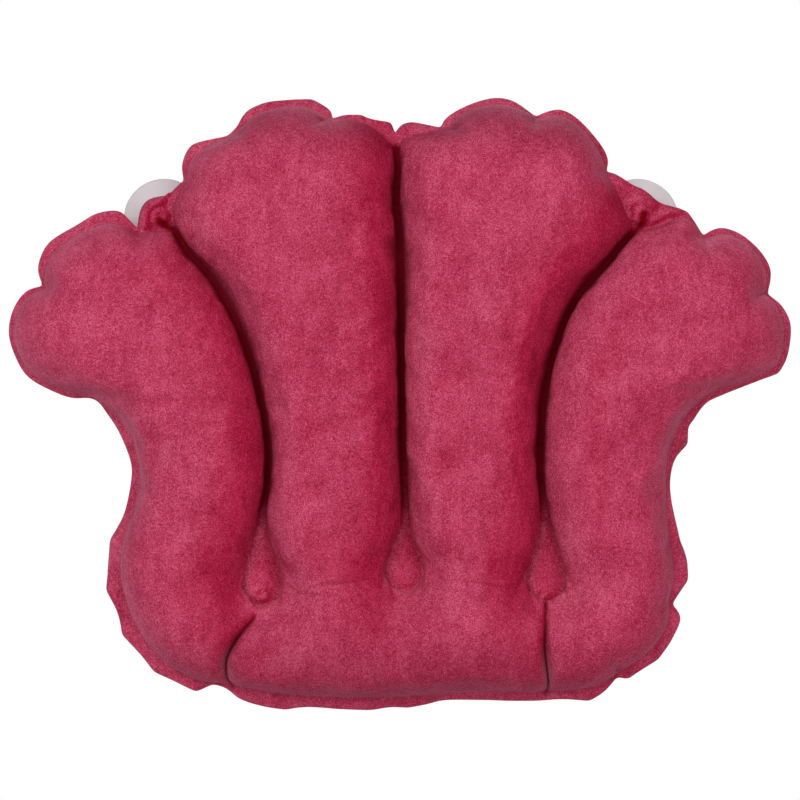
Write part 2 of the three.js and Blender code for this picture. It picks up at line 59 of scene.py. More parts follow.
# Cut edge of the two sheets, clockwise from the notch between the inner lobes. Each run is one smooth curve.
CUT_EDGE = (
    ((395, 134), (401, 125), (412, 122), (428, 125), (441, 128)),
    ((441, 128), (445, 119), (460, 109), (480, 101), (498, 98), (515, 102), (536, 117)),
    ((536, 117), (546, 112), (562, 110), (580, 121), (600, 144), (608, 160), (606, 172)),
    ((606, 172), (618, 176), (631, 184.5), (644, 190), (656, 201)),
    ((656, 201), (670, 206.5), (687, 211)),
    ((687, 211), (694, 221), (703, 236)),
    ((703, 236), (712, 230), (724, 228), (742, 235), (760, 251), (770, 268), (770, 282), (767, 294)),
    ((767, 294), (780, 304), (789, 319), (791, 334), (787, 357), (779, 373)),
    ((779, 373), (750, 384), (720, 396), (705, 404), (688, 427)),
    ((688, 427), (688, 444)),
    ((688, 444), (675, 459), (670, 480), (672, 504), (680, 540)),
    ((680, 540), (687, 560), (688, 580)),
    ((688, 580), (672, 604)),
    ((672, 604), (679, 613), (680, 622), (670, 643), (658, 660)),
    ((658, 660), (638, 672), (628, 679)),
    ((628, 679), (617, 677)),
    ((617, 677), (605, 691), (590, 701)),
    ((590, 701), (560, 699), (530, 701), (480, 700), (445, 700), (428, 704), (408, 708)),
    ((408, 708), (390, 707), (370, 710), (340, 709), (305, 707), (285, 710)),
    ((285, 710), (262, 706), (240, 699), (226, 688), (213, 684)),
    ((213, 684), (196, 692)),
    ((196, 692), (176, 682), (154, 672)),
    ((154, 672), (140, 654), (122, 635)),
    ((122, 635), (118, 613), (106, 590)),
    ((106, 590), (110, 540)),
    ((110, 540), (124, 514), (131, 482), (131, 462), (119, 432), (100, 403)),
    ((100, 403), (90, 398), (68, 397), (32, 380), (17, 360), (9, 333), (14, 308), (27, 291), (43, 286)),
    ((43, 286), (38, 270), (42, 254), (52, 240), (82, 222), (98, 213), (118, 211), (128, 219), (138, 229)),
    ((138, 229), (141, 211), (149, 200), (168, 195), (184, 181)),
    ((184, 181), (182, 166), (187, 151), (196, 143), (228, 136)),
    ((228, 136), (237, 127)),
    ((237, 127), (246, 112), (264, 103), (288, 100), (312, 99)),
    ((312, 99), (330, 110), (332, 119)),
    ((332, 119), (345, 115), (362, 115)),
    ((362, 115), (370, 119), (391, 122)),
    ((391, 122), (395, 134)),
)

# Weld line round the air chamber, in the same order
WELD_LINE = (
    ((396, 147), (408, 138), (428, 132), (447, 126), (466, 113), (492, 106), (516, 109), (538, 119)),
    ((538, 119), (560, 117), (580, 129), (594, 146), (602, 160), (607, 176)),
    ((607, 176), (620, 200), (634, 232)),
    ((634, 232), (650, 229), (668, 222), (684, 217), (695, 226), (704, 240)),
    ((704, 240), (722, 235), (742, 242), (757, 256), (765, 274), (765, 294)),
    ((765, 294), (776, 307), (782, 324), (782, 346), (776, 366)),
    ((776, 366), (748, 380), (716, 391), (696, 403), (680, 423), (669, 448), (665, 478), (666, 510),
     (671, 548), (673, 575), (668, 600)),
    ((668, 600), (668, 616), (658, 638), (640, 656), (618, 671)),
    ((618, 671), (598, 682), (572, 688), (546, 690)),
    ((546, 690), (500, 691), (450, 692), (405, 696), (350, 696), (300, 694), (262, 689), (231, 683)),
    ((231, 683), (208, 680), (184, 671), (160, 654), (143, 632), (130, 606), (123, 580), (122, 556),
     (127, 530), (136, 502), (140, 474), (137, 450), (125, 424), (106, 405)),
    ((106, 405), (88, 397), (66, 390), (38, 377), (22, 357), (15, 334), (19, 311), (30, 296), (45, 289)),
    ((45, 289), (46, 272), (53, 256), (68, 243), (90, 231), (112, 224), (138, 232)),
    ((138, 232), (152, 231), (176, 232)),
    ((176, 232), (173, 215), (178, 198), (187, 182)),
    ((187, 182), (190, 165), (202, 151), (222, 141), (240, 129), (258, 116), (282, 109), (306, 109),
     (333, 120)),
    ((333, 120), (352, 121), (370, 127), (384, 138), (396, 147)),
)

# Welded seams between the lobes: a narrow strip and, below it, a teardrop island with its half widths
SEAM_HALF = 2.6
STRIPS = (
    ((176, 232), (190, 254), (206, 271), (225, 299), (242, 334), (254, 371), (263, 410), (268, 450),
     (267, 482)),
    ((396, 147), (398, 170), (396, 200), (400, 240), (401, 300), (402, 400), (403, 450)),
    ((634, 232), (617, 250), (606, 264), (588, 284), (572, 306), (560, 334), (551, 364), (544, 398),
     (541, 434), (540, 466)),
)
ISLANDS = (
    ((263, 510, 3.2), (262, 530, 6), (261.5, 550, 11.5), (262, 566, 17), (262.5, 585, 20)),
    ((405, 500, 3.2), (405, 530, 6), (404, 545, 12), (404, 560, 18), (404.5, 571, 20)),
    ((543, 500, 3.2), (546, 530, 7), (546, 550, 13), (546, 575, 20), (546, 581, 20)),
)
SEAMS = tuple((*((x, y, SEAM_HALF) for x, y in strip), *island) for strip, island in zip(STRIPS, ISLANDS))

# The upper eyelets draw the webs into dimples, from which the outer seams run down
DIMPLES = (((160, 221), (168, 227)), (), ((644, 214), (641, 224)))

# Folds of the inflated front: points, depth as a share of the swell, width in pixels and painted shade along
# the fold
FOLDS = (
    (((256, 615), (248, 623), (238, 636), (230, 650), (229, 668), (232, 684)), 0.62, 3.6, 0.85),
    (((545, 602), (544, 618), (543, 645), (546, 672), (546, 690)), 0.55, 3.4, 0.9),
    (((311, 582), (328, 579), (348, 578), (368, 575)), 0.05, 4, 0.4),
    (((292, 583), (304, 588), (320, 589)), 0.045, 4, 0.35),
    (((440, 574), (462, 577), (482, 578), (500, 583)), 0.05, 4, 0.25),
    (((441, 128), (455, 132)), 0.35, 7, 0.1),
    (((536, 117), (533, 128)), 0.35, 7, 0.1),
    (((606, 172), (596, 174)), 0.2, 7, 0),
    (((703, 236), (703, 248)), 0.2, 7, 0),
    (((767, 294), (756, 296)), 0.3, 7, 0.1),
    (((672, 604), (660, 606)), 0.3, 7, 0.1),
    (((617, 677), (613, 664)), 0.45, 6, 0.3),
    (((332, 119), (322, 125)), 0.35, 7, 0.1),
    (((232, 132), (242, 139)), 0.2, 7, 0),
    (((184, 181), (194, 184)), 0.2, 7, 0),
    (((138, 229), (141, 242)), 0.35, 7, 0.15),
    (((43, 286), (56, 290)), 0.3, 7, 0.1),
    (((387, 150), (396, 147)), 0.5, 6, 0.6),
)

# Crumpled webs in front of the upper cups: points, lift in millimetres and width in pixels
CRUMPLES = (
    (((145, 227), (147, 214), (152, 207), (161, 203)), 4.4, 5),
    (((175, 207), (175, 199), (183, 188)), 3.6, 3.5),
    (((172, 196), (168, 202), (165, 209)), -2.4, 2.4),
    (((611, 179), (624, 189), (637, 197), (650, 206)), 3.4, 6),
    (((651, 221), (664, 215), (678, 210)), 2.8, 4),
    (((629, 206), (631, 218)), 4.2, 4),
)

# The islands are wells in the front: a low wall with a round rim, then lobes that slope up, steeper above
WELL_RISE = 9 * MM
WELL_ROUND = 2 * MM
WELL_SLOPE = 1.15
WELL_STEEPER = 4
WELL_STEEP_FROM = 0.3  # share of the well's height
WELL_BLEND = 0.18
WELL_FLOOR = 3 * MM
WELL_FLOOR_EDGE = 5 * MM
WELL_RINGS = (0.7 * MM, 2.3 * MM)

# Painted shade on the right of a well's floor, more towards its top, and a painted highlight along its rim
WELL_SHADE_FROM = 0.1
WELL_SHADE_FOOT = 0.2
WELL_SHADE_MORE = 0.5
RIM_AT = 0.7 * MM
RIM_WIDTH = 1 * MM
RIM_FADE = (0.6, 0.9)
RIM_LESS = 0.6

# The lobes bulge over the seams between them
BULGE = 2.8 * MM
BULGE_AT = 6 * MM
BULGE_WIDTH = 3.5 * MM
BULGE_HEIGHT = 25 * MM

# Painted shade on the pile starts and ends so far from a valley, its lower end, a fold, a seam and the
# plan's middle
VALLEY_SHADE = (1.2 * MM, 3.6 * MM)
VALLEY_END = (2 * MM, 18 * MM)
FOLD_SHADE = (0.2 * MM, 1.6 * MM)
FLANK_SHADE = (20 * MM, 45 * MM)
TOP_SHADE_SPAN = (140 * MM, 178 * MM)
FOOT_SHADE_SPAN = (125 * MM, 170 * MM)

# Sheets: share of a round tube that they swell to, their most, and how sharply they level off there
FRONT_SWELL = 1.06
FRONT_REACH = 40.5 * MM
FRONT_KNEE = 6
BACK_SWELL = 1
BACK_REACH = 22 * MM
BACK_KNEE = 2.55
FRONT_SHEET = 1.4 * MM
BACK_SHEET = 0.9 * MM
BACK_FOLDS = 0.6  # depth of the folds on the back, as a share of the front's
FRONT_CAP = 9 * MM  # most that the pressure moves a point
BACK_CAP = 3 * MM

# Cloth of the sheets while the air swells it, and for how many frames
AIR_FRAMES = 20
AIR_CLOTH = {
    "quality": 6,
    "tension_stiffness": 25,
    "compression_stiffness": 12,
    "shear_stiffness": 10,
    "bending_stiffness": 2,
    "use_pressure": True,
    "uniform_pressure_force": 4,
    "shrink_min": -0.025,
}

# Flange and webs outside the weld: their ripples, and how far round the cups they are held flat
RIPPLE = 2.4 * MM
RIPPLE_LENGTH = 17 * MM
RIPPLE_SEED = 3.1
FLANGE_CURL = 1.6 * MM
FLANGE_LOOSE = 11 * MM
FLANGE_HOLD = (8 * MM, 20 * MM)
WEB_RADIUS = 45 * MM
WEB_HOLD = (4 * MM, 8 * MM)

# Facets
MESH_STEP = 4.2 * MM
WEB_STEP = 1.9 * MM
WEB_REACH = 28 * MM
EDGE_STEP = 3.4 * MM
RING_OFFSETS = (1.4 * MM, 3.4 * MM)
RING_GAP = 0.8 * WELL_RINGS[0]
POINT_JITTER = 0.08  # shares of a step
POINT_GAP = 0.62
CAP_STEPS = 10
CIRCLE_STEPS = 20
VALVE_STEPS = 32
LAND_STEPS = 36
LATHE_STEPS = 72
CORNER_STEPS = 4
CORNER_SHARE = 0.4  # most of an edge that a rounded corner takes
SHARP = math.radians(50)
ON_LINE = 0.05 * MM  # points nearer than this lie on a line
MERGE = 1e-7
TINY = 1e-12
TINY_AREA = 1e-14
COTANGENTS = (0.01, 50)

# Cups and valve, as in the frame
CUPS = ("upper_left", "upper_right", "lower_left", "lower_right")
NECK_HOLE = 3.4 * MM
BELL_FOOT = 6.5 * MM
BELL_RADIUS = 25.4 * MM
BELL_LEVEL = -20.15 * MM
BELL_CURVE = 1.15
BELL_GAP = 1.2 * MM
BELL_GAP_FULL = 2 * MM
BELL_CLEAR = 3 * MM
VALVE_HOLE = 8.7 * MM
LAND_RADIUS = 16 * MM
LAND_BLEND = 27 * MM
LAND_RINGS = (12 * MM, 16 * MM, 20 * MM, 24 * MM)

# Knobs of the front over the cups' buttons, puckered round a dimple
KNOB_RADIUS = 7.5 * MM
KNOB_FLAT = 0.45
KNOB_RISES = (2.5 * MM, 2.5 * MM, 1.2 * MM, 1.2 * MM)
KNOB_PLEATS = 7
KNOB_RINGS = (1.1 * MM, 2.2 * MM, 4.4 * MM, 5.6 * MM, 7.2 * MM, 9 * MM)
KNOB_DIMPLE = 0.9 * MM
KNOB_DIMPLE_WIDTH = 1.4 * MM
PUCKER = 0.4 * MM
PUCKER_WAVE = 0.8
PUCKER_AT = 3.4 * MM
PUCKER_WIDTH = 1.4 * MM

rng = np.random.default_rng(7)
scene = bpy.context.scene


# Plan curves
def on_plan(pixels):
    points = np.asarray(pixels, float)
    return np.stack([points[:, 0] - MIDDLE[0], MIDDLE[1] - points[:, 1]], 1) * PIXEL


def resample(points, step):
    """Points at even steps along an open line, both ends kept. Columns past the second go along."""
    length = np.concatenate([[0], np.cumsum(np.linalg.norm(np.diff(points[:, :2], axis=0), axis=1))])
    count = max(1, round(length[-1] / step))
    at = np.linspace(0, length[-1], count + 1)
    return np.stack([np.interp(at, length, points[:, i]) for i in range(points.shape[1])], 1)


def smooth(points, per_span=12):
    """A Catmull-Rom curve through the points, as a fine line."""
    ends = np.vstack([2 * points[0] - points[1], points, 2 * points[-1] - points[-2]])
    t = np.linspace(0, 1, per_span, endpoint=False)[:, None]
    spans = []
    for a, b, c, d in zip(ends, ends[1:], ends[2:], ends[3:]):
        spans.append(b + 0.5 * t * (c - a + t * (2 * a - 5 * b + 4 * c - d + t * (3 * (b - c) + d - a))))
    return np.vstack([*spans, points[-1:]])


def open_line(pixels):
    return resample(smooth(on_plan(pixels)), EDGE_STEP)


def closed_runs(runs):
    return np.vstack([open_line(run)[:-1] for run in runs])


def sideways(line):
    """Unit normals of a line, to its left."""
    ahead = np.gradient(line, axis=0)
    ahead /= np.linalg.norm(ahead, axis=1)[:, None]
    return np.stack([-ahead[:, 1], ahead[:, 0]], 1)


def stroke(points, extra):
    """The closed outline of a line of varying half width, with a round lower end."""
    line = np.asarray(points, float)
    line = np.hstack([on_plan(line[:, :2]), line[:, 2:] * PIXEL])
    line = resample(smooth(line), EDGE_STEP)
    side = sideways(line[:, :2])
    half = line[:, 2:] + extra
    left = line[:, :2] + side * half
    right = line[:, :2] - side * half
    ahead = np.array([side[-1, 1], -side[-1, 0]])
    turns = np.linspace(0, math.pi, CAP_STEPS)[1:-1, None]
    cap = line[-1, :2] + half[-1] * (np.cos(turns) * side[-1] + np.sin(turns) * ahead)
    return np.vstack([left, cap, right[::-1]])


def circle(centre, radius, steps=CIRCLE_STEPS):
    turns = np.linspace(0, 2 * math.pi, steps, endpoint=False)
    return np.asarray(centre) + radius * np.stack([np.cos(turns), np.sin(turns)], 1)


def inside(points, loop):
    """True for the points inside a closed loop."""
    hit = np.zeros(len(points), bool)
    for (ax, az), (bx, bz) in zip(loop, np.roll(loop, -1, axis=0)):
        crosses = (az > points[:, 1]) != (bz > points[:, 1])
        if crosses.any():
            hit ^= crosses & (points[:, 0] < ax + (points[:, 1] - az) * (bx - ax) / (bz - az + 1e-30))
    return hit


def distance(points, line):
    """Distance of each point to a line."""
    least = np.full(len(points), np.inf)
    for a, b in zip(line[:-1], line[1:]):
        span = b - a
        t = np.clip((points - a) @ span / max(span @ span, 1e-18), 0, 1)
        least = np.minimum(least, np.linalg.norm(points - a - t[:, None] * span, axis=1))
    return least


def towards(points, line):
    """Unit steps from each point towards the nearest spot of a line."""
    least = distance(points, line)
    step = 0.01 * MM
    right = distance(points + (step, 0), line)
    above = distance(points + (0, step), line)
    return -np.stack([right - least, above - least], 1) / step


def loop_distance(points, loop):
    return distance(points, np.vstack([loop, loop[:1]]))


def nearest(points, others):
    """Distance of each point to the nearest of the others."""
    least = np.full(len(points), np.inf)
    for i in range(0, len(others), 200):
        gap = points[:, None, :] - others[None, i:i + 200, :]
        least = np.minimum(least, np.sqrt((gap ** 2).sum(2)).min(1))
    return least


def ease(value, low, high):
    """Smooth step from 0 at low to 1 at high."""
    t = np.clip((value - low) / (high - low), 0, 1)
    return t * t * (3 - 2 * t)


def waves(points, length, seed):
    """Soft noise with waves of about that length, one value a point."""
    return np.array([noise.noise(Vector((x / length, z / length, seed))) for x, z in points])


def node_middle(node):
    low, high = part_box(node)
    return np.array([(low.x + high.x) / 2, (low.z + high.z) / 2])


cut_edge = closed_runs(CUT_EDGE)
weld_line = closed_runs(WELD_LINE)
seams = [stroke(points, 0) for points in SEAMS]
islands = [stroke(points, 0) for points in ISLANDS]
folds = [(open_line(points), depth, width * PIXEL, shade) for points, depth, width, shade in FOLDS]
crumples = [(open_line(points), lift * MM, width * PIXEL) for points, lift, width in CRUMPLES]
cup_places = [node_middle("suction_cup_" + name) for name in CUPS]
valve_place = node_middle("valve_base")


# The flat plan of the sheets as a triangle mesh
def scattered(low, high, step, fixed):
    """Points inside the cut edge, about a step from one another and from the fixed points."""
    row_step = step * math.sqrt(0.75)
    rows = []
    for i, z in enumerate(np.arange(low[1], high[1], row_step)):
        x = np.arange(low[0] + (i % 2) * step / 2, high[0], step)
        rows.append(np.stack([x, np.full(len(x), z)], 1))
    grid = np.vstack(rows)
    grid += rng.normal(0, POINT_JITTER * step, grid.shape)
    grid = grid[inside(grid, cut_edge)]
    return grid[nearest(grid, fixed) > POINT_GAP * step]


def flat_mesh():
    """Points and triangles of the plan, with edges on the welds, the folds and the holes."""
    necks = [circle(place, NECK_HOLE) for place in cup_places]
    loops = [cut_edge, weld_line, *seams, *necks, circle(valve_place, VALVE_HOLE, VALVE_STEPS)]
    creases = [line for line, _, _, _ in folds]
    edges = []
    count = 0
    for line in [*loops, *creases]:
        edges += [(count + i, count + i + 1) for i in range(len(line) - 1)]
        if any(line is loop for loop in loops):
            edges.append((count + len(line) - 1, count))
        count += len(line)
    fixed = np.vstack([*loops, *creases])
    rings = [circle(place, radius) for place in cup_places for radius in KNOB_RINGS]
    rings += [circle(valve_place, radius, LAND_STEPS) for radius in LAND_RINGS]
    rings += [stroke(points, offset) for points in ISLANDS for offset in WELL_RINGS]
    for offset in RING_OFFSETS:
        rings.append(weld_line - offset * sideways(weld_line))
        rings += [stroke(seam, offset) for seam in SEAMS]
        rings += [line + turn * offset * sideways(line) for line in creases for turn in (-1, 1)]
    for ring in rings:
        fixed = np.vstack([fixed, ring[nearest(ring, fixed) > RING_GAP]])
    for place in cup_places[:2]:
        web = scattered(place - WEB_REACH, place + WEB_REACH, WEB_STEP, fixed)
        fixed = np.vstack([fixed, web[~inside(web, weld_line)]])
    grid = scattered(cut_edge.min(0), cut_edge.max(0), MESH_STEP, fixed)
    made = delaunay_2d_cdt([Vector(p) for p in (*fixed, *grid)], edges, [], 0, MERGE, False)
    points = np.array([tuple(v) for v in made[0]])
    faces = np.array([tuple(f) for f in made[2]])
    faces = faces[inside(points[faces].mean(1), cut_edge)]
    a, b, c = (points[faces[:, i]] for i in range(3))
    turned = (b[:, 0] - a[:, 0]) * (c[:, 1] - a[:, 1]) - (b[:, 1] - a[:, 1]) * (c[:, 0] - a[:, 0])
    faces[turned < 0] = faces[turned < 0][:, ::-1]
    return points, faces


def membrane(points, faces, free):
    """Swell of an even pressure over the free points: the radius of the round tube that fits there."""
    rows, columns, weights = [], [], []
    area = np.zeros(len(points))
    for k in range(3):
        i, j, apex = faces[:, (k + 1) % 3], faces[:, (k + 2) % 3], faces[:, k]
        u = points[i] - points[apex]
        v = points[j] - points[apex]
        double = np.abs(u[:, 0] * v[:, 1] - u[:, 1] * v[:, 0]) + TINY_AREA
        weight = np.clip((u * v).sum(1) / double, *COTANGENTS) / 2
        rows += [i, j]
        columns += [j, i]
        weights += [weight, weight]
        np.add.at(area, apex, double / 6)
    rows, columns, weights = (np.concatenate(part) for part in (rows, columns, weights))
    total = np.maximum(np.bincount(rows, weights, len(points)), TINY)
    answer = np.zeros(len(points))
    rest = np.where(free, area, 0)
    step = rest / total
    power = (rest * step).sum()
    least = TINY * power
    while power > least:
        pulled = total * step - np.bincount(rows, weights * step[columns], len(points))
        pulled = np.where(free, pulled, 0)
        share = power / (step * pulled).sum()
        answer += share * step
        rest = rest - share * pulled
        eased = rest / total
        after = (rest * eased).sum()
        step = eased + after / power * step
        power = after
    return np.sqrt(2 * np.maximum(answer, 0))


plan, triangles = flat_mesh()
to_weld = loop_distance(plan, weld_line)
in_weld = inside(plan, weld_line) & (to_weld > ON_LINE)
outside = np.where(inside(plan, weld_line), 0, to_weld)
on_seam = np.zeros(len(plan), bool)
for seam in seams:
    on_seam |= loop_distance(plan, seam) < ON_LINE
    in_weld &= ~inside(plan, seam)
in_weld &= ~on_seam
to_cup = nearest(plan, np.array(cup_places))
tube = membrane(plan, triangles, in_weld)

# What both sheets share: the rippled flange and the crumpled webs, which the cups hold flat
loose = ease(outside, 0, FLANGE_LOOSE) * ease(to_cup, *FLANGE_HOLD)
shared = loose * (RIPPLE * 2 * waves(plan, RIPPLE_LENGTH, RIPPLE_SEED) + FLANGE_CURL)
in_web = ~in_weld & (nearest(plan, np.array(cup_places[:2])) < WEB_RADIUS)
for line, lift, width in crumples:
    ridge = np.exp(-(distance(plan, line) / width) ** 2)
    shared -= np.where(in_web, lift * ridge * ease(to_cup, *WEB_HOLD), 0)


def sheet_object(name, points, faces):
    mesh = bpy.data.meshes.new(name)
    mesh.from_pydata(points.tolist(), [], faces.tolist())
    mesh.update()
    obj = bpy.data.objects.new(name, mesh)
    scene.collection.objects.link(obj)
    mesh.shade_smooth()
    return obj


def inflate(obj, pins, cap):
    """Lets air pressure swell the loose part of a sheet, which has a little more cloth than its form."""
    start = np.empty(3 * len(obj.data.vertices), np.float32)
    obj.data.vertices.foreach_get("co", start)
    held = obj.vertex_groups.new(name="held")
    held.add(np.flatnonzero(pins).tolist(), 1, "REPLACE")
    modifier = obj.modifiers.new("air", "CLOTH")
    for setting, value in AIR_CLOTH.items():
        setattr(modifier.settings, setting, value)
    modifier.settings.vertex_group_mass = held.name
    modifier.settings.effector_weights.gravity = 0
    modifier.collision_settings.use_collision = False
    modifier.point_cache.frame_end = AIR_FRAMES
    for step in range(AIR_FRAMES):
        scene.frame_set(step + 1)
    filled = np.empty_like(start)
    obj.evaluated_get(bpy.context.evaluated_depsgraph_get()).data.vertices.foreach_get("co", filled)
    obj.modifiers.remove(modifier)
    obj.vertex_groups.remove(held)
    scene.frame_set(1)
    move = (filled - start).reshape(-1, 3)
    size = np.linalg.norm(move, axis=1, keepdims=True)
    return start.reshape(-1, 3) + move * np.minimum(1, cap / np.maximum(size, 1e-9))


def shell(obj, points, thickness):
    """Puts the points back and gives the sheet its thickness, on the inner side. The seams stay crisp."""
    obj.data.vertices.foreach_set("co", points.ravel())
    obj.data.update()
    ends = np.empty(2 * len(obj.data.edges), np.int32)
    obj.data.edges.foreach_get("vertices", ends)
    crisp = on_seam[ends.reshape(-1, 2)].all(1).astype(np.float32)
    obj.data.attributes.new("crease_edge", "FLOAT", "EDGE").data.foreach_set("value", crisp)
    finer = obj.modifiers.new("finer", "SUBSURF")
    finer.levels = 1
    finer.render_levels = 1
    wall = obj.modifiers.new("wall", "SOLIDIFY")
    wall.thickness = thickness
    wall.offset = -1


def swollen(share, reach, knee):
    """Rise of a sheet: a share of the round tube, levelled off at its reach."""
    rise = share * tube
    return rise / (1 + (rise / reach) ** knee) ** (1 / knee)


def swollen_sheet(name, level, outwards, swell, faces, cap):
    points = np.stack([plan[:, 0], level + outwards * swell, plan[:, 1]], 1)
    obj = sheet_object(name, points, faces)
    points = inflate(obj, ~in_weld, cap)
    return obj, points


def press_well(points, outline, island):
    """Presses an island's well into the front. Returns the painted shade on its floor and the painted
    highlight along its rim.
    """
    axis = on_plan([point[:2] for point in outline])[::-1]
    half = np.array([point[2] for point in outline])[::-1] * PIXEL
    middle = np.interp(plan[:, 1], axis[:, 1], axis[:, 0])
    across = (plan[:, 0] - middle) / np.interp(plan[:, 1], axis[:, 1], half)
    away = loop_distance(plan, island)
    bottom = inside(plan, island) | (away < ON_LINE)
    up = np.clip((plan[:, 1] - island[:, 1].min()) / np.ptp(island[:, 1]), 0, 1)
    wall = WELL_RISE * np.sqrt(1 - (1 - np.clip(away / WELL_ROUND, 0, 1)) ** 2)
    roof = wall + (WELL_SLOPE + WELL_STEEPER * ease(up, WELL_STEEP_FROM, 1)) * away
    height = np.maximum(front_level - points[:, 1], 0)
    both = np.sqrt((height - roof) ** 2 + 4 * WELL_BLEND ** 2 * height * roof)
    lift = WELL_FLOOR * ease(away, 0, WELL_FLOOR_EDGE) * (1 - across) / 2
    points[:, 1] = front_level - np.where(bottom, lift, (height + roof - both) / 2)
    shade = bottom * ease(across, WELL_SHADE_FROM, 1) * (WELL_SHADE_FOOT + WELL_SHADE_MORE * up)
    rim = (1 - ease(np.abs(away - RIM_AT), 0, RIM_WIDTH)) * (1 - ease(up, *RIM_FADE)) * ~bottom
    return shade, rim * (1 - RIM_LESS * ease(across, 0, 1))


def raise_knob(points, place, rise):
    """Draws the front over a button as a puckered knob."""
    away = np.linalg.norm(plan - place, axis=1)
    turn = np.arctan2(plan[:, 1] - place[1], plan[:, 0] - place[0])
    pleats = PUCKER * (1 + PUCKER_WAVE * np.cos(KNOB_PLEATS * turn))
    pucker = pleats * np.exp(-((away - PUCKER_AT) / PUCKER_WIDTH) ** 2)
    dimple = KNOB_DIMPLE * np.exp(-(away / KNOB_DIMPLE_WIDTH) ** 2)
    dome = rise * (1 - ease(away, KNOB_FLAT * KNOB_RADIUS, KNOB_RADIUS))
    points[:, 1] -= np.where(in_weld, 0, dome - dimple + pucker)


# Front sheet: terry, with folds, lobes that bulge over the seams, wells and knobs
front_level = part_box("front_panel")[1].y - FRONT_SHEET
front_swell = swollen(FRONT_SWELL, FRONT_REACH, FRONT_KNEE)
front, front_points = swollen_sheet("front_sheet", front_level, -1, front_swell, triangles, FRONT_CAP)
for line, depth, width, _ in folds:
    crease = depth * np.exp(-distance(plan, line) / width)
    front_points[:, 1] -= (front_points[:, 1] - front_level) * crease
lobe_height = np.clip((front_level - front_points[:, 1]) / BULGE_HEIGHT, 0, 1)
for strip in STRIPS:
    line = open_line(strip)
    lean = BULGE * lobe_height * np.exp(-((distance(plan, line) - BULGE_AT) / BULGE_WIDTH) ** 2)
    front_points[:, ::2] += lean[:, None] * towards(plan, line)
# Painted shade on the wells' floors and a painted highlight along their rims
painted_shade = np.zeros(len(plan))
rim_highlight = np.zeros(len(plan))
for outline, island in zip(ISLANDS, islands):
    shade, rim = press_well(front_points, outline, island)
    painted_shade = np.maximum(painted_shade, shade)
    rim_highlight = np.maximum(rim_highlight, rim)
front_points[:, 1] += shared
for place, rise in zip(cup_places, KNOB_RISES):
    raise_knob(front_points, place, rise)

# Painted shade in the valleys and folds, nearness to a seam, and painted shade towards the top and the foot
for dimple, strip, outline in zip(DIMPLES, STRIPS, ISLANDS):
    line = open_line([*dimple, *strip, *(point[:2] for point in outline[:2])])
    near = 1 - ease(distance(plan, line), *VALLEY_SHADE)
    painted_shade = np.maximum(painted_shade, near * ease(np.linalg.norm(plan - line[-1], axis=1), *VALLEY_END))
for line, _, _, shade in folds:
    near = 1 - ease(distance(plan, line), *FOLD_SHADE)
    painted_shade = np.maximum(painted_shade, near * shade)
to_seam = np.min([loop_distance(plan, seam) for seam in seams], axis=0)
flank = 1 - ease(to_seam, *FLANK_SHADE)
# Painted shade: the pile is darker towards the top of the heads and the foot of the bolster
top_foot_shade = np.maximum(ease(plan[:, 1], *TOP_SHADE_SPAN), ease(-plan[:, 1], *FOOT_SHADE_SPAN)) * in_weld
for name, value in (("painted_shade", painted_shade), ("rim_highlight", rim_highlight), ("flank", flank), ("top_foot_shade", top_foot_shade)):
    front.data.attributes.new(name, "FLOAT", "POINT").data.foreach_set("value", value)
shell(front, front_points, FRONT_SHEET)

# Back sheet: vinyl, with eyelets for the cups, dents for their bells and a flat land round the valve
back_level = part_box("back_panel")[0].y + BACK_SHEET
land_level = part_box("back_panel")[1].y
middles = plan[triangles].mean(1)
holed = nearest(middles, np.array(cup_places)) < NECK_HOLE
holed |= np.linalg.norm(middles - valve_place, axis=1) < VALVE_HOLE
back_faces = triangles[~holed][:, ::-1]
back_swell = swollen(BACK_SWELL, BACK_REACH, BACK_KNEE)
back, back_points = swollen_sheet("back_sheet", back_level, 1, back_swell, back_faces, BACK_CAP)
for line, depth, width, _ in folds:
    crease = BACK_FOLDS * depth * np.exp(-distance(plan, line) / width)
    back_points[:, 1] -= (back_points[:, 1] - back_level) * crease
back_points[:, 1] += shared
flat = 1 - ease(np.linalg.norm(plan - valve_place, axis=1), LAND_RADIUS, LAND_BLEND)
back_points[:, 1] += (land_level - back_points[:, 1]) * flat
bell_rise = np.clip((to_cup - BELL_FOOT) / (BELL_RADIUS - BELL_FOOT), 0, 1) ** BELL_CURVE
ceiling = np.where(to_cup < BELL_FOOT, back_level, BELL_LEVEL * (1 - bell_rise))
ceiling -= BELL_GAP * ease(to_cup, 0, BELL_GAP_FULL)
near_bell = to_cup < BELL_RADIUS + BELL_CLEAR
back_points[:, 1] = np.where(near_bell, np.minimum(back_points[:, 1], ceiling), back_points[:, 1])
shell(back, back_points, BACK_SHEET)


# Suction cup, as radius and height in millimetres from its hollow to its button
CUP_STEPS = 22
CUP_HOLLOW_RADIUS = 23.4
CUP_HOLLOW_DEPTH = 15
CUP_HOLLOW_CURVE = 1.6
CUP_RIM = ((24.2, -0.1), (25.1, 0), (25.4, -0.3))
CUP_BELL_EDGE = -0.8
CUP_NECK = (
    (6.5, -20.15), (6.5, -26.65), (2.8, -26.65), (2.8, -28.15),
    (4.2, -28.15), (4.2, -29.3), (3, -30.15), (0, -30.15),
)
CUP_CORNER = 0.5

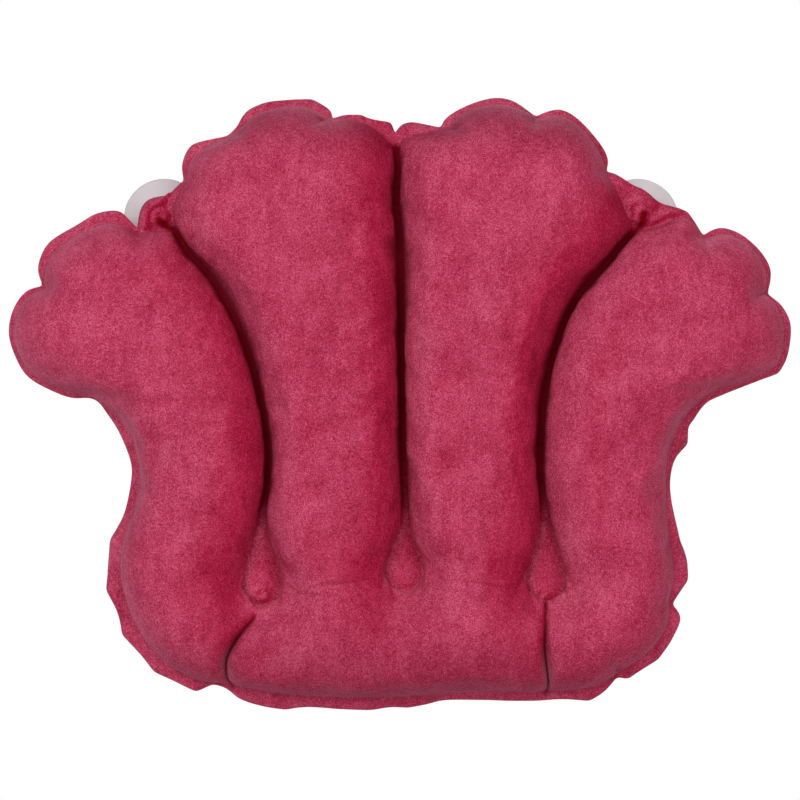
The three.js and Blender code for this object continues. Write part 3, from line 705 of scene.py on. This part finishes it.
# Valve: base, stem, stopper and check flap in the same way
BASE = (
    (6.5, -3.6), (10.1, -3.6), (10.1, -4.6), (8.1, -4.6), (8.1, -8.5),
    (14, -8.5), (14, -9.7), (8.1, -9.7), (8.1, -12.7), (6.5, -12.7),
)
STEM = (
    (3.4, -2), (8.2, -2), (8.2, -3.3), (6.2, -3.3),
    (6.2, -25), (7.3, -25), (6.2, -26.6), (3.4, -26.6),
)
STOPPER = (
    (0, -0.9), (3.2, -0.9), (4, -0.3), (5.9, -0.3), (6.6, -1),
    (6.6, -1.7), (3.1, -1.7), (3.1, -9.2), (1.6, -10.7), (0, -10.7),
)
FLAP = ((0, -26.9), (4.6, -26.9), (4.6, -27.7), (0, -27.7))
VALVE_CORNER = 0.3
FLAP_CORNER = 0.25

# Strap of the stopper in millimetres from the valve's axis, and its section as shares of width and thickness
STRAP_THICK = 0.8
STRAP_WIDTH = 4
STRAP_LEVELS = (-2.65, -1)
STRAP_ENDS = (7.9, 6.3)
STRAP_BEND = 21.5
STRAP_LEAD = 0.5
STRAP_RUN_STEPS = 10
STRAP_TURN_STEPS = 12
STRAP_SECTION = (
    (0.5, 0.32), (0.45, 0.5), (-0.45, 0.5), (-0.5, 0.32),
    (-0.5, -0.32), (-0.45, -0.5), (0.45, -0.5), (0.5, -0.32),
)


# Closed solids
def solid_object(name, mesh):
    """An object of a closed mesh, with its faces turned outwards and its edges sharp."""
    bmesh.ops.recalc_face_normals(mesh, faces=mesh.faces)
    data = bpy.data.meshes.new(name)
    mesh.to_mesh(data)
    mesh.free()
    data.shade_smooth()
    data.set_sharp_from_angle(angle=SHARP)
    obj = bpy.data.objects.new(name, data)
    scene.collection.objects.link(obj)
    return obj


def softened(profile, size):
    """The profile with its corners rounded."""
    line = np.asarray(profile, float)
    rounded = [line[:1]]
    t = np.linspace(0, 1, CORNER_STEPS)[:, None]
    for a, b, c in zip(line, line[1:], line[2:]):
        before = b + (a - b) * min(size / np.linalg.norm(a - b), CORNER_SHARE)
        after = b + (c - b) * min(size / np.linalg.norm(c - b), CORNER_SHARE)
        rounded.append((1 - t) ** 2 * before + 2 * t * (1 - t) * b + t ** 2 * after)
    return np.vstack([*rounded, line[-1:]])


def ring_profile(profile, size):
    """A closed ring with its corners rounded, started in the middle of its first edge."""
    start = (np.add(profile[0], profile[-1]) / 2).tolist()
    return softened([start, *profile, start], size)[:-1]


def cup_profile():
    share = np.linspace(0, 1, CUP_STEPS)
    hollow = np.stack([CUP_HOLLOW_RADIUS * share, -CUP_HOLLOW_DEPTH * (1 - share ** CUP_HOLLOW_CURVE)], 1)
    back = share[::-1]
    foot, level = CUP_NECK[0]
    across = foot + (CUP_RIM[-1][0] - foot) * back
    bell = np.stack([across, level + (CUP_BELL_EDGE - level) * back ** BELL_CURVE], 1)
    return np.vstack([hollow, CUP_RIM, bell[:-1], softened(CUP_NECK, CUP_CORNER)])


def lathe(name, profile, place):
    """Turns a closed profile, or one that starts and ends on the axis, into a solid about the Y axis."""
    mesh = bmesh.new()
    turns = np.linspace(0, 2 * math.pi, LATHE_STEPS, endpoint=False)
    rings = []
    for radius, level in np.asarray(profile) * MM:
        ring = []
        for turn in turns if radius > 0 else turns[:1]:
            x = place[0] + radius * math.cos(turn)
            z = place[1] + radius * math.sin(turn)
            ring.append(mesh.verts.new((x, level, z)))
        rings.append(ring)
    if len(rings[0]) > 1:
        rings.append(rings[0])
    for low, high in zip(rings, rings[1:]):
        for i in range(LATHE_STEPS):
            j = (i + 1) % LATHE_STEPS
            corners = [low[i % len(low)], low[j % len(low)], high[j % len(high)], high[i % len(high)]]
            mesh.faces.new(list(dict.fromkeys(corners)))
    return solid_object(name, mesh)


def strap_object():
    """A flat band folded into a U, from the stem's collar out and back to the stopper."""
    low, high = STRAP_LEVELS
    middle = (low + high) / 2
    radius = high - middle
    lead = STRAP_BEND - STRAP_LEAD
    turns = np.linspace(-math.pi / 2, math.pi / 2, STRAP_TURN_STEPS)
    bend = np.stack([STRAP_BEND + radius * np.cos(turns), middle + radius * np.sin(turns)], 1)
    outwards = np.linspace((STRAP_ENDS[0], low), (lead, low), STRAP_RUN_STEPS)
    inwards = np.linspace((lead, high), (STRAP_ENDS[1], high), STRAP_RUN_STEPS)
    path = np.vstack([outwards, bend, inwards])
    mesh = bmesh.new()
    rings = []
    for spot, side in zip(path, sideways(path)):
        ring = []
        for over, up in STRAP_SECTION:
            x, y = (spot + side * up * STRAP_THICK) * MM
            z = over * STRAP_WIDTH * MM
            ring.append(mesh.verts.new((valve_place[0] + x, y, valve_place[1] + z)))
        rings.append(ring)
    for near, far in zip(rings, rings[1:]):
        for i in range(len(near)):
            j = (i + 1) % len(near)
            mesh.faces.new((near[i], near[j], far[j], far[i]))
    mesh.faces.new(rings[0][::-1])
    mesh.faces.new(rings[-1])
    return solid_object("strap", mesh)


# Pieces with their body, the solid that each replaces and their finish
pieces = []
for name, place in zip(CUPS, cup_places):
    cup = lathe("cup_" + name, cup_profile(), place)
    pieces.append((cup, "cup_" + name, "suction_cup_" + name, "cup_vinyl"))
for name, profile, body in (
    ("valve_base", ring_profile(BASE, VALVE_CORNER), "pillow"),
    ("valve_stem", ring_profile(STEM, VALVE_CORNER), "stem"),
    ("valve_plug", softened(STOPPER, VALVE_CORNER), "plug"),
    ("check_flap", softened(FLAP, FLAP_CORNER), "flap"),
):
    pieces.append((lathe(name + "_round", profile, valve_place), body, name, "valve_vinyl"))

strap = strap_object()
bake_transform(strap)
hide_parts("plug_strap")

pieces.append((front, "pillow", "front_panel", "terry"))
pieces.append((back, "pillow", "back_panel", "back_vinyl"))
for obj, body, node, slot in pieces:
    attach(obj, body)
    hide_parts(node)


# Colours of the terry: its pile, and painted shade where it faces right or down, at top and foot and where a
# valley, fold or well lies, and a painted highlight on a rim
PILE_STOPS = (
    (0.39, (0.28, 0.013, 0.044)),
    (0.5, (0.465, 0.044, 0.103)),
    (0.61, (0.68, 0.13, 0.225)),
)
SIDE_SHADE_TINT = (0.85, 0.29, 0.5)
SIDE_SHADE_DIRECTION = (0.9, 0, -0.5)
TOP_FOOT_SHADE_TINT = (0.72, 0.6, 0.64)
RIM_HIGHLIGHT_COLOUR = (0.66, 0.16, 0.25)
RIM_HIGHLIGHT_SHARE = 0.45
PAINTED_SHADE_COLOUR = (0.16, 0.0006, 0.004)
SHEEN_TINT = (1, 0.5, 0.66, 1)

# Colours of the vinyl
BACK_STOPS = ((0.35, (0.33, 0.022, 0.06)), (0.65, (0.41, 0.036, 0.085)))
CUP_COLOUR = (0.79, 0.71, 0.735)
VALVE_COLOUR = (0.76, 0.73, 0.73)
MILK_SHADE = 0.94


# Materials
def new_material(name, roughness):
    material = bpy.data.materials.new(name)
    material.use_nodes = True
    shader = material.node_tree.nodes["Principled BSDF"]
    shader.inputs["Roughness"].default_value = roughness
    return material, material.node_tree, shader


def grain(tree, size, detail, stretch=(1, 1, 1)):
    """Noise with spots of about that size, in metres, drawn out along the axes."""
    place = tree.nodes.new("ShaderNodeTexCoord")
    mapping = tree.nodes.new("ShaderNodeMapping")
    mapping.inputs["Scale"].default_value = [1 / (size * s) for s in stretch]
    spots = tree.nodes.new("ShaderNodeTexNoise")
    spots.inputs["Scale"].default_value = 1
    spots.inputs["Detail"].default_value = detail
    spots.inputs["Roughness"].default_value = 0.6
    tree.links.new(place.outputs["Object"], mapping.inputs["Vector"])
    tree.links.new(mapping.outputs["Vector"], spots.inputs["Vector"])
    return spots.outputs["Fac"]


def weighted(tree, parts):
    """Sum of outputs, each times its weight."""
    total = None
    for output, weight in parts:
        step = tree.nodes.new("ShaderNodeMath")
        step.operation = "MULTIPLY_ADD"
        step.inputs[1].default_value = weight
        step.inputs[2].default_value = 0
        tree.links.new(output, step.inputs[0])
        if total:
            tree.links.new(total, step.inputs[2])
        total = step.outputs[0]
    return total


def coloured(tree, value, stops):
    ramp = tree.nodes.new("ShaderNodeValToRGB")
    while len(ramp.color_ramp.elements) < len(stops):
        ramp.color_ramp.elements.new(0.5)
    for element, (at, colour) in zip(ramp.color_ramp.elements, stops):
        element.position = at
        element.color = (*colour, 1)
    tree.links.new(value, ramp.inputs["Fac"])
    return ramp.outputs["Color"]


def bumps(tree, shader, parts):
    """Bumps one on the other: outputs with their height in metres."""
    below = None
    for output, height in parts:
        bump = tree.nodes.new("ShaderNodeBump")
        bump.inputs["Distance"].default_value = height
        tree.links.new(output, bump.inputs["Height"])
        if below:
            tree.links.new(below, bump.inputs["Normal"])
        below = bump.outputs["Normal"]
    tree.links.new(below, shader.inputs["Normal"])


def attribute(tree, name):
    node = tree.nodes.new("ShaderNodeAttribute")
    node.attribute_name = name
    return node.outputs["Fac"]


def ranged(tree, value, low, high, start, end):
    """A value carried from one range into another and kept inside it."""
    node = tree.nodes.new("ShaderNodeMapRange")
    for socket, number in (("From Min", low), ("From Max", high), ("To Min", start), ("To Max", end)):
        node.inputs[socket].default_value = number
    tree.links.new(value, node.inputs["Value"])
    return node.outputs["Result"]


def combined(tree, operation, first, second):
    node = tree.nodes.new("ShaderNodeMath")
    node.operation = operation
    tree.links.new(first, node.inputs[0])
    tree.links.new(second, node.inputs[1])
    return node.outputs[0]


def blended(tree, factor, colour, other, way="MIX"):
    """A colour blended with a fixed other one."""
    node = tree.nodes.new("ShaderNodeMix")
    node.data_type = "RGBA"
    node.blend_type = way
    node.inputs["B"].default_value = (*other, 1)
    tree.links.new(factor, node.inputs["Factor"])
    tree.links.new(colour, node.inputs["A"])
    return node.outputs["Result"]


def facing(tree, direction):
    """Share of the surface's direction that points along a given one."""
    place = tree.nodes.new("ShaderNodeTexCoord")
    node = tree.nodes.new("ShaderNodeVectorMath")
    node.operation = "DOT_PRODUCT"
    node.inputs[1].default_value = direction
    tree.links.new(place.outputs["Normal"], node.inputs[0])
    return node.outputs["Value"]


def terry():
    """Short pile, with painted shade where it faces right or down, most beside a seam, at top and foot and
    in valleys, folds and wells, and a painted highlight on well rims.
    """
    material, tree, shader = new_material("terry", 1)
    pile = grain(tree, 0.7 * MM, 3)
    tufts = grain(tree, 2.4 * MM, 2)
    streaks = grain(tree, 7 * MM, 3, (1, 1, 2.6))
    nap = grain(tree, 24 * MM, 3)
    mixed = weighted(tree, ((pile, 0.6), (tufts, 0.14), (streaks, 0.13), (nap, 0.13)))
    flank = attribute(tree, "flank")
    # Painted shade: surfaces that face right or down are tinted deeper, most beside a seam
    into = ranged(tree, facing(tree, SIDE_SHADE_DIRECTION), -0.35, 0.5, 0, 1)
    into = combined(tree, "MULTIPLY", into, ranged(tree, flank, 0, 1, 0.45, 1))
    # Painted highlight along the well rims
    rim_light = ranged(tree, attribute(tree, "rim_highlight"), 0, 1, 0, RIM_HIGHLIGHT_SHARE)
    colour = blended(tree, into, coloured(tree, mixed, PILE_STOPS), SIDE_SHADE_TINT, "MULTIPLY")
    # Painted shade towards the top and the foot
    colour = blended(tree, attribute(tree, "top_foot_shade"), colour, TOP_FOOT_SHADE_TINT, "MULTIPLY")
    colour = blended(tree, rim_light, colour, RIM_HIGHLIGHT_COLOUR)
    # Painted shade in the valleys, folds and wells
    colour = blended(tree, attribute(tree, "painted_shade"), colour, PAINTED_SHADE_COLOUR)
    tree.links.new(colour, shader.inputs["Base Color"])
    bumps(tree, shader, ((nap, 1.3 * MM), (tufts, 0.5 * MM), (pile, 0.65 * MM)))
    tree.links.new(ranged(tree, flank, 0, 1, 0.4, 0), shader.inputs["Sheen Weight"])
    shader.inputs["Specular IOR Level"].default_value = 0.03
    shader.inputs["Sheen Roughness"].default_value = 0.35
    shader.inputs["Sheen Tint"].default_value = SHEEN_TINT
    return material


def back_vinyl():
    material, tree, shader = new_material("back_vinyl", 0.45)
    cloud = grain(tree, 30 * MM, 3)
    speck = grain(tree, 1.4 * MM, 2)
    mixed = weighted(tree, ((cloud, 0.6), (speck, 0.4)))
    tree.links.new(coloured(tree, mixed, BACK_STOPS), shader.inputs["Base Color"])
    bumps(tree, shader, ((grain(tree, 12 * MM, 3), 0.8 * MM), (speck, 0.08 * MM)))
    return material


def milky_vinyl(name, colour, clear):
    material, tree, shader = new_material(name, 0.24)
    cloud = grain(tree, 9 * MM, 3)
    stops = ((0.3, tuple(MILK_SHADE * c for c in colour)), (0.7, colour))
    tree.links.new(coloured(tree, cloud, stops), shader.inputs["Base Color"])
    bumps(tree, shader, ((grain(tree, 5 * MM, 2), 0.06 * MM),))
    shader.inputs["Transmission Weight"].default_value = clear
    shader.inputs["IOR"].default_value = 1.5
    return material


finishes = {
    "terry": terry(),
    "back_vinyl": back_vinyl(),
    "cup_vinyl": milky_vinyl("cup_vinyl", CUP_COLOUR, 0.25),
    "valve_vinyl": milky_vinyl("valve_vinyl", VALVE_COLOUR, 0.12),
}
for obj, _, _, slot in [*pieces, (strap, None, None, "valve_vinyl")]:
    obj.data.materials.append(finishes[slot])

# Camera, square on the front
FRAME_PIXELS = 800
camera = bpy.data.cameras.new("camera")
camera.lens = 120
camera.sensor_width = 36
eye = bpy.data.objects.new("camera", camera)
scene.collection.objects.link(eye)
weld_y = (front_level + back_level) / 2
reach = FRAME_PIXELS * PIXEL * camera.lens / camera.sensor_width
centre = FRAME_PIXELS / 2
eye.location = ((centre - MIDDLE[0]) * PIXEL, weld_y - reach, (MIDDLE[1] - centre) * PIXEL)
eye.rotation_euler = (math.radians(90), 0, 0)
scene.camera = eye
scene.view_settings.view_transform = "Standard"


# Studio: soft lamps, a pale floor below and a white surround
def lamp(name, place, energy, size):
    light = bpy.data.lights.new(name, "AREA")
    light.energy = energy
    light.size = size
    obj = bpy.data.objects.new(name, light)
    obj.location = place
    obj.rotation_euler = (-Vector(place)).to_track_quat("-Z", "Y").to_euler()
    scene.collection.objects.link(obj)


lamp("key", (-0.8, -1.95, 0.8), 28, 1.2)
lamp("fill", (0.95, -1.9, 0.7), 17, 1.2)
lamp("back", (0.6, 1.8, 1.0), 16, 1.4)

floor_mesh = bpy.data.meshes.new("floor")
FLOOR = ((-1.9, -1.6, -0.5), (1.9, -1.6, -0.5), (1.9, 1.25, -0.5), (-1.9, 1.25, -0.5))
floor_mesh.from_pydata(FLOOR, [], [(0, 1, 2, 3)])
floor = bpy.data.objects.new("floor", floor_mesh)
scene.collection.objects.link(floor)
pale, _, shader = new_material("floor", 0.9)
shader.inputs["Base Color"].default_value = (0.82, 0.82, 0.82, 1)
floor_mesh.materials.append(pale)

AMBIENT = 0.24
world = bpy.data.worlds.new("studio")
scene.world = world
world.use_nodes = True
tree = world.node_tree
rays = tree.nodes.new("ShaderNodeLightPath").outputs
seen = combined(tree, "MAXIMUM", rays["Is Camera Ray"], rays["Is Transmission Ray"])
seen = combined(tree, "MAXIMUM", seen, rays["Is Glossy Ray"])
background = tree.nodes["Background"]
background.inputs["Color"].default_value = (1, 1, 1, 1)
tree.links.new(ranged(tree, seen, 0, 1, AMBIENT, 1), background.inputs["Strength"])
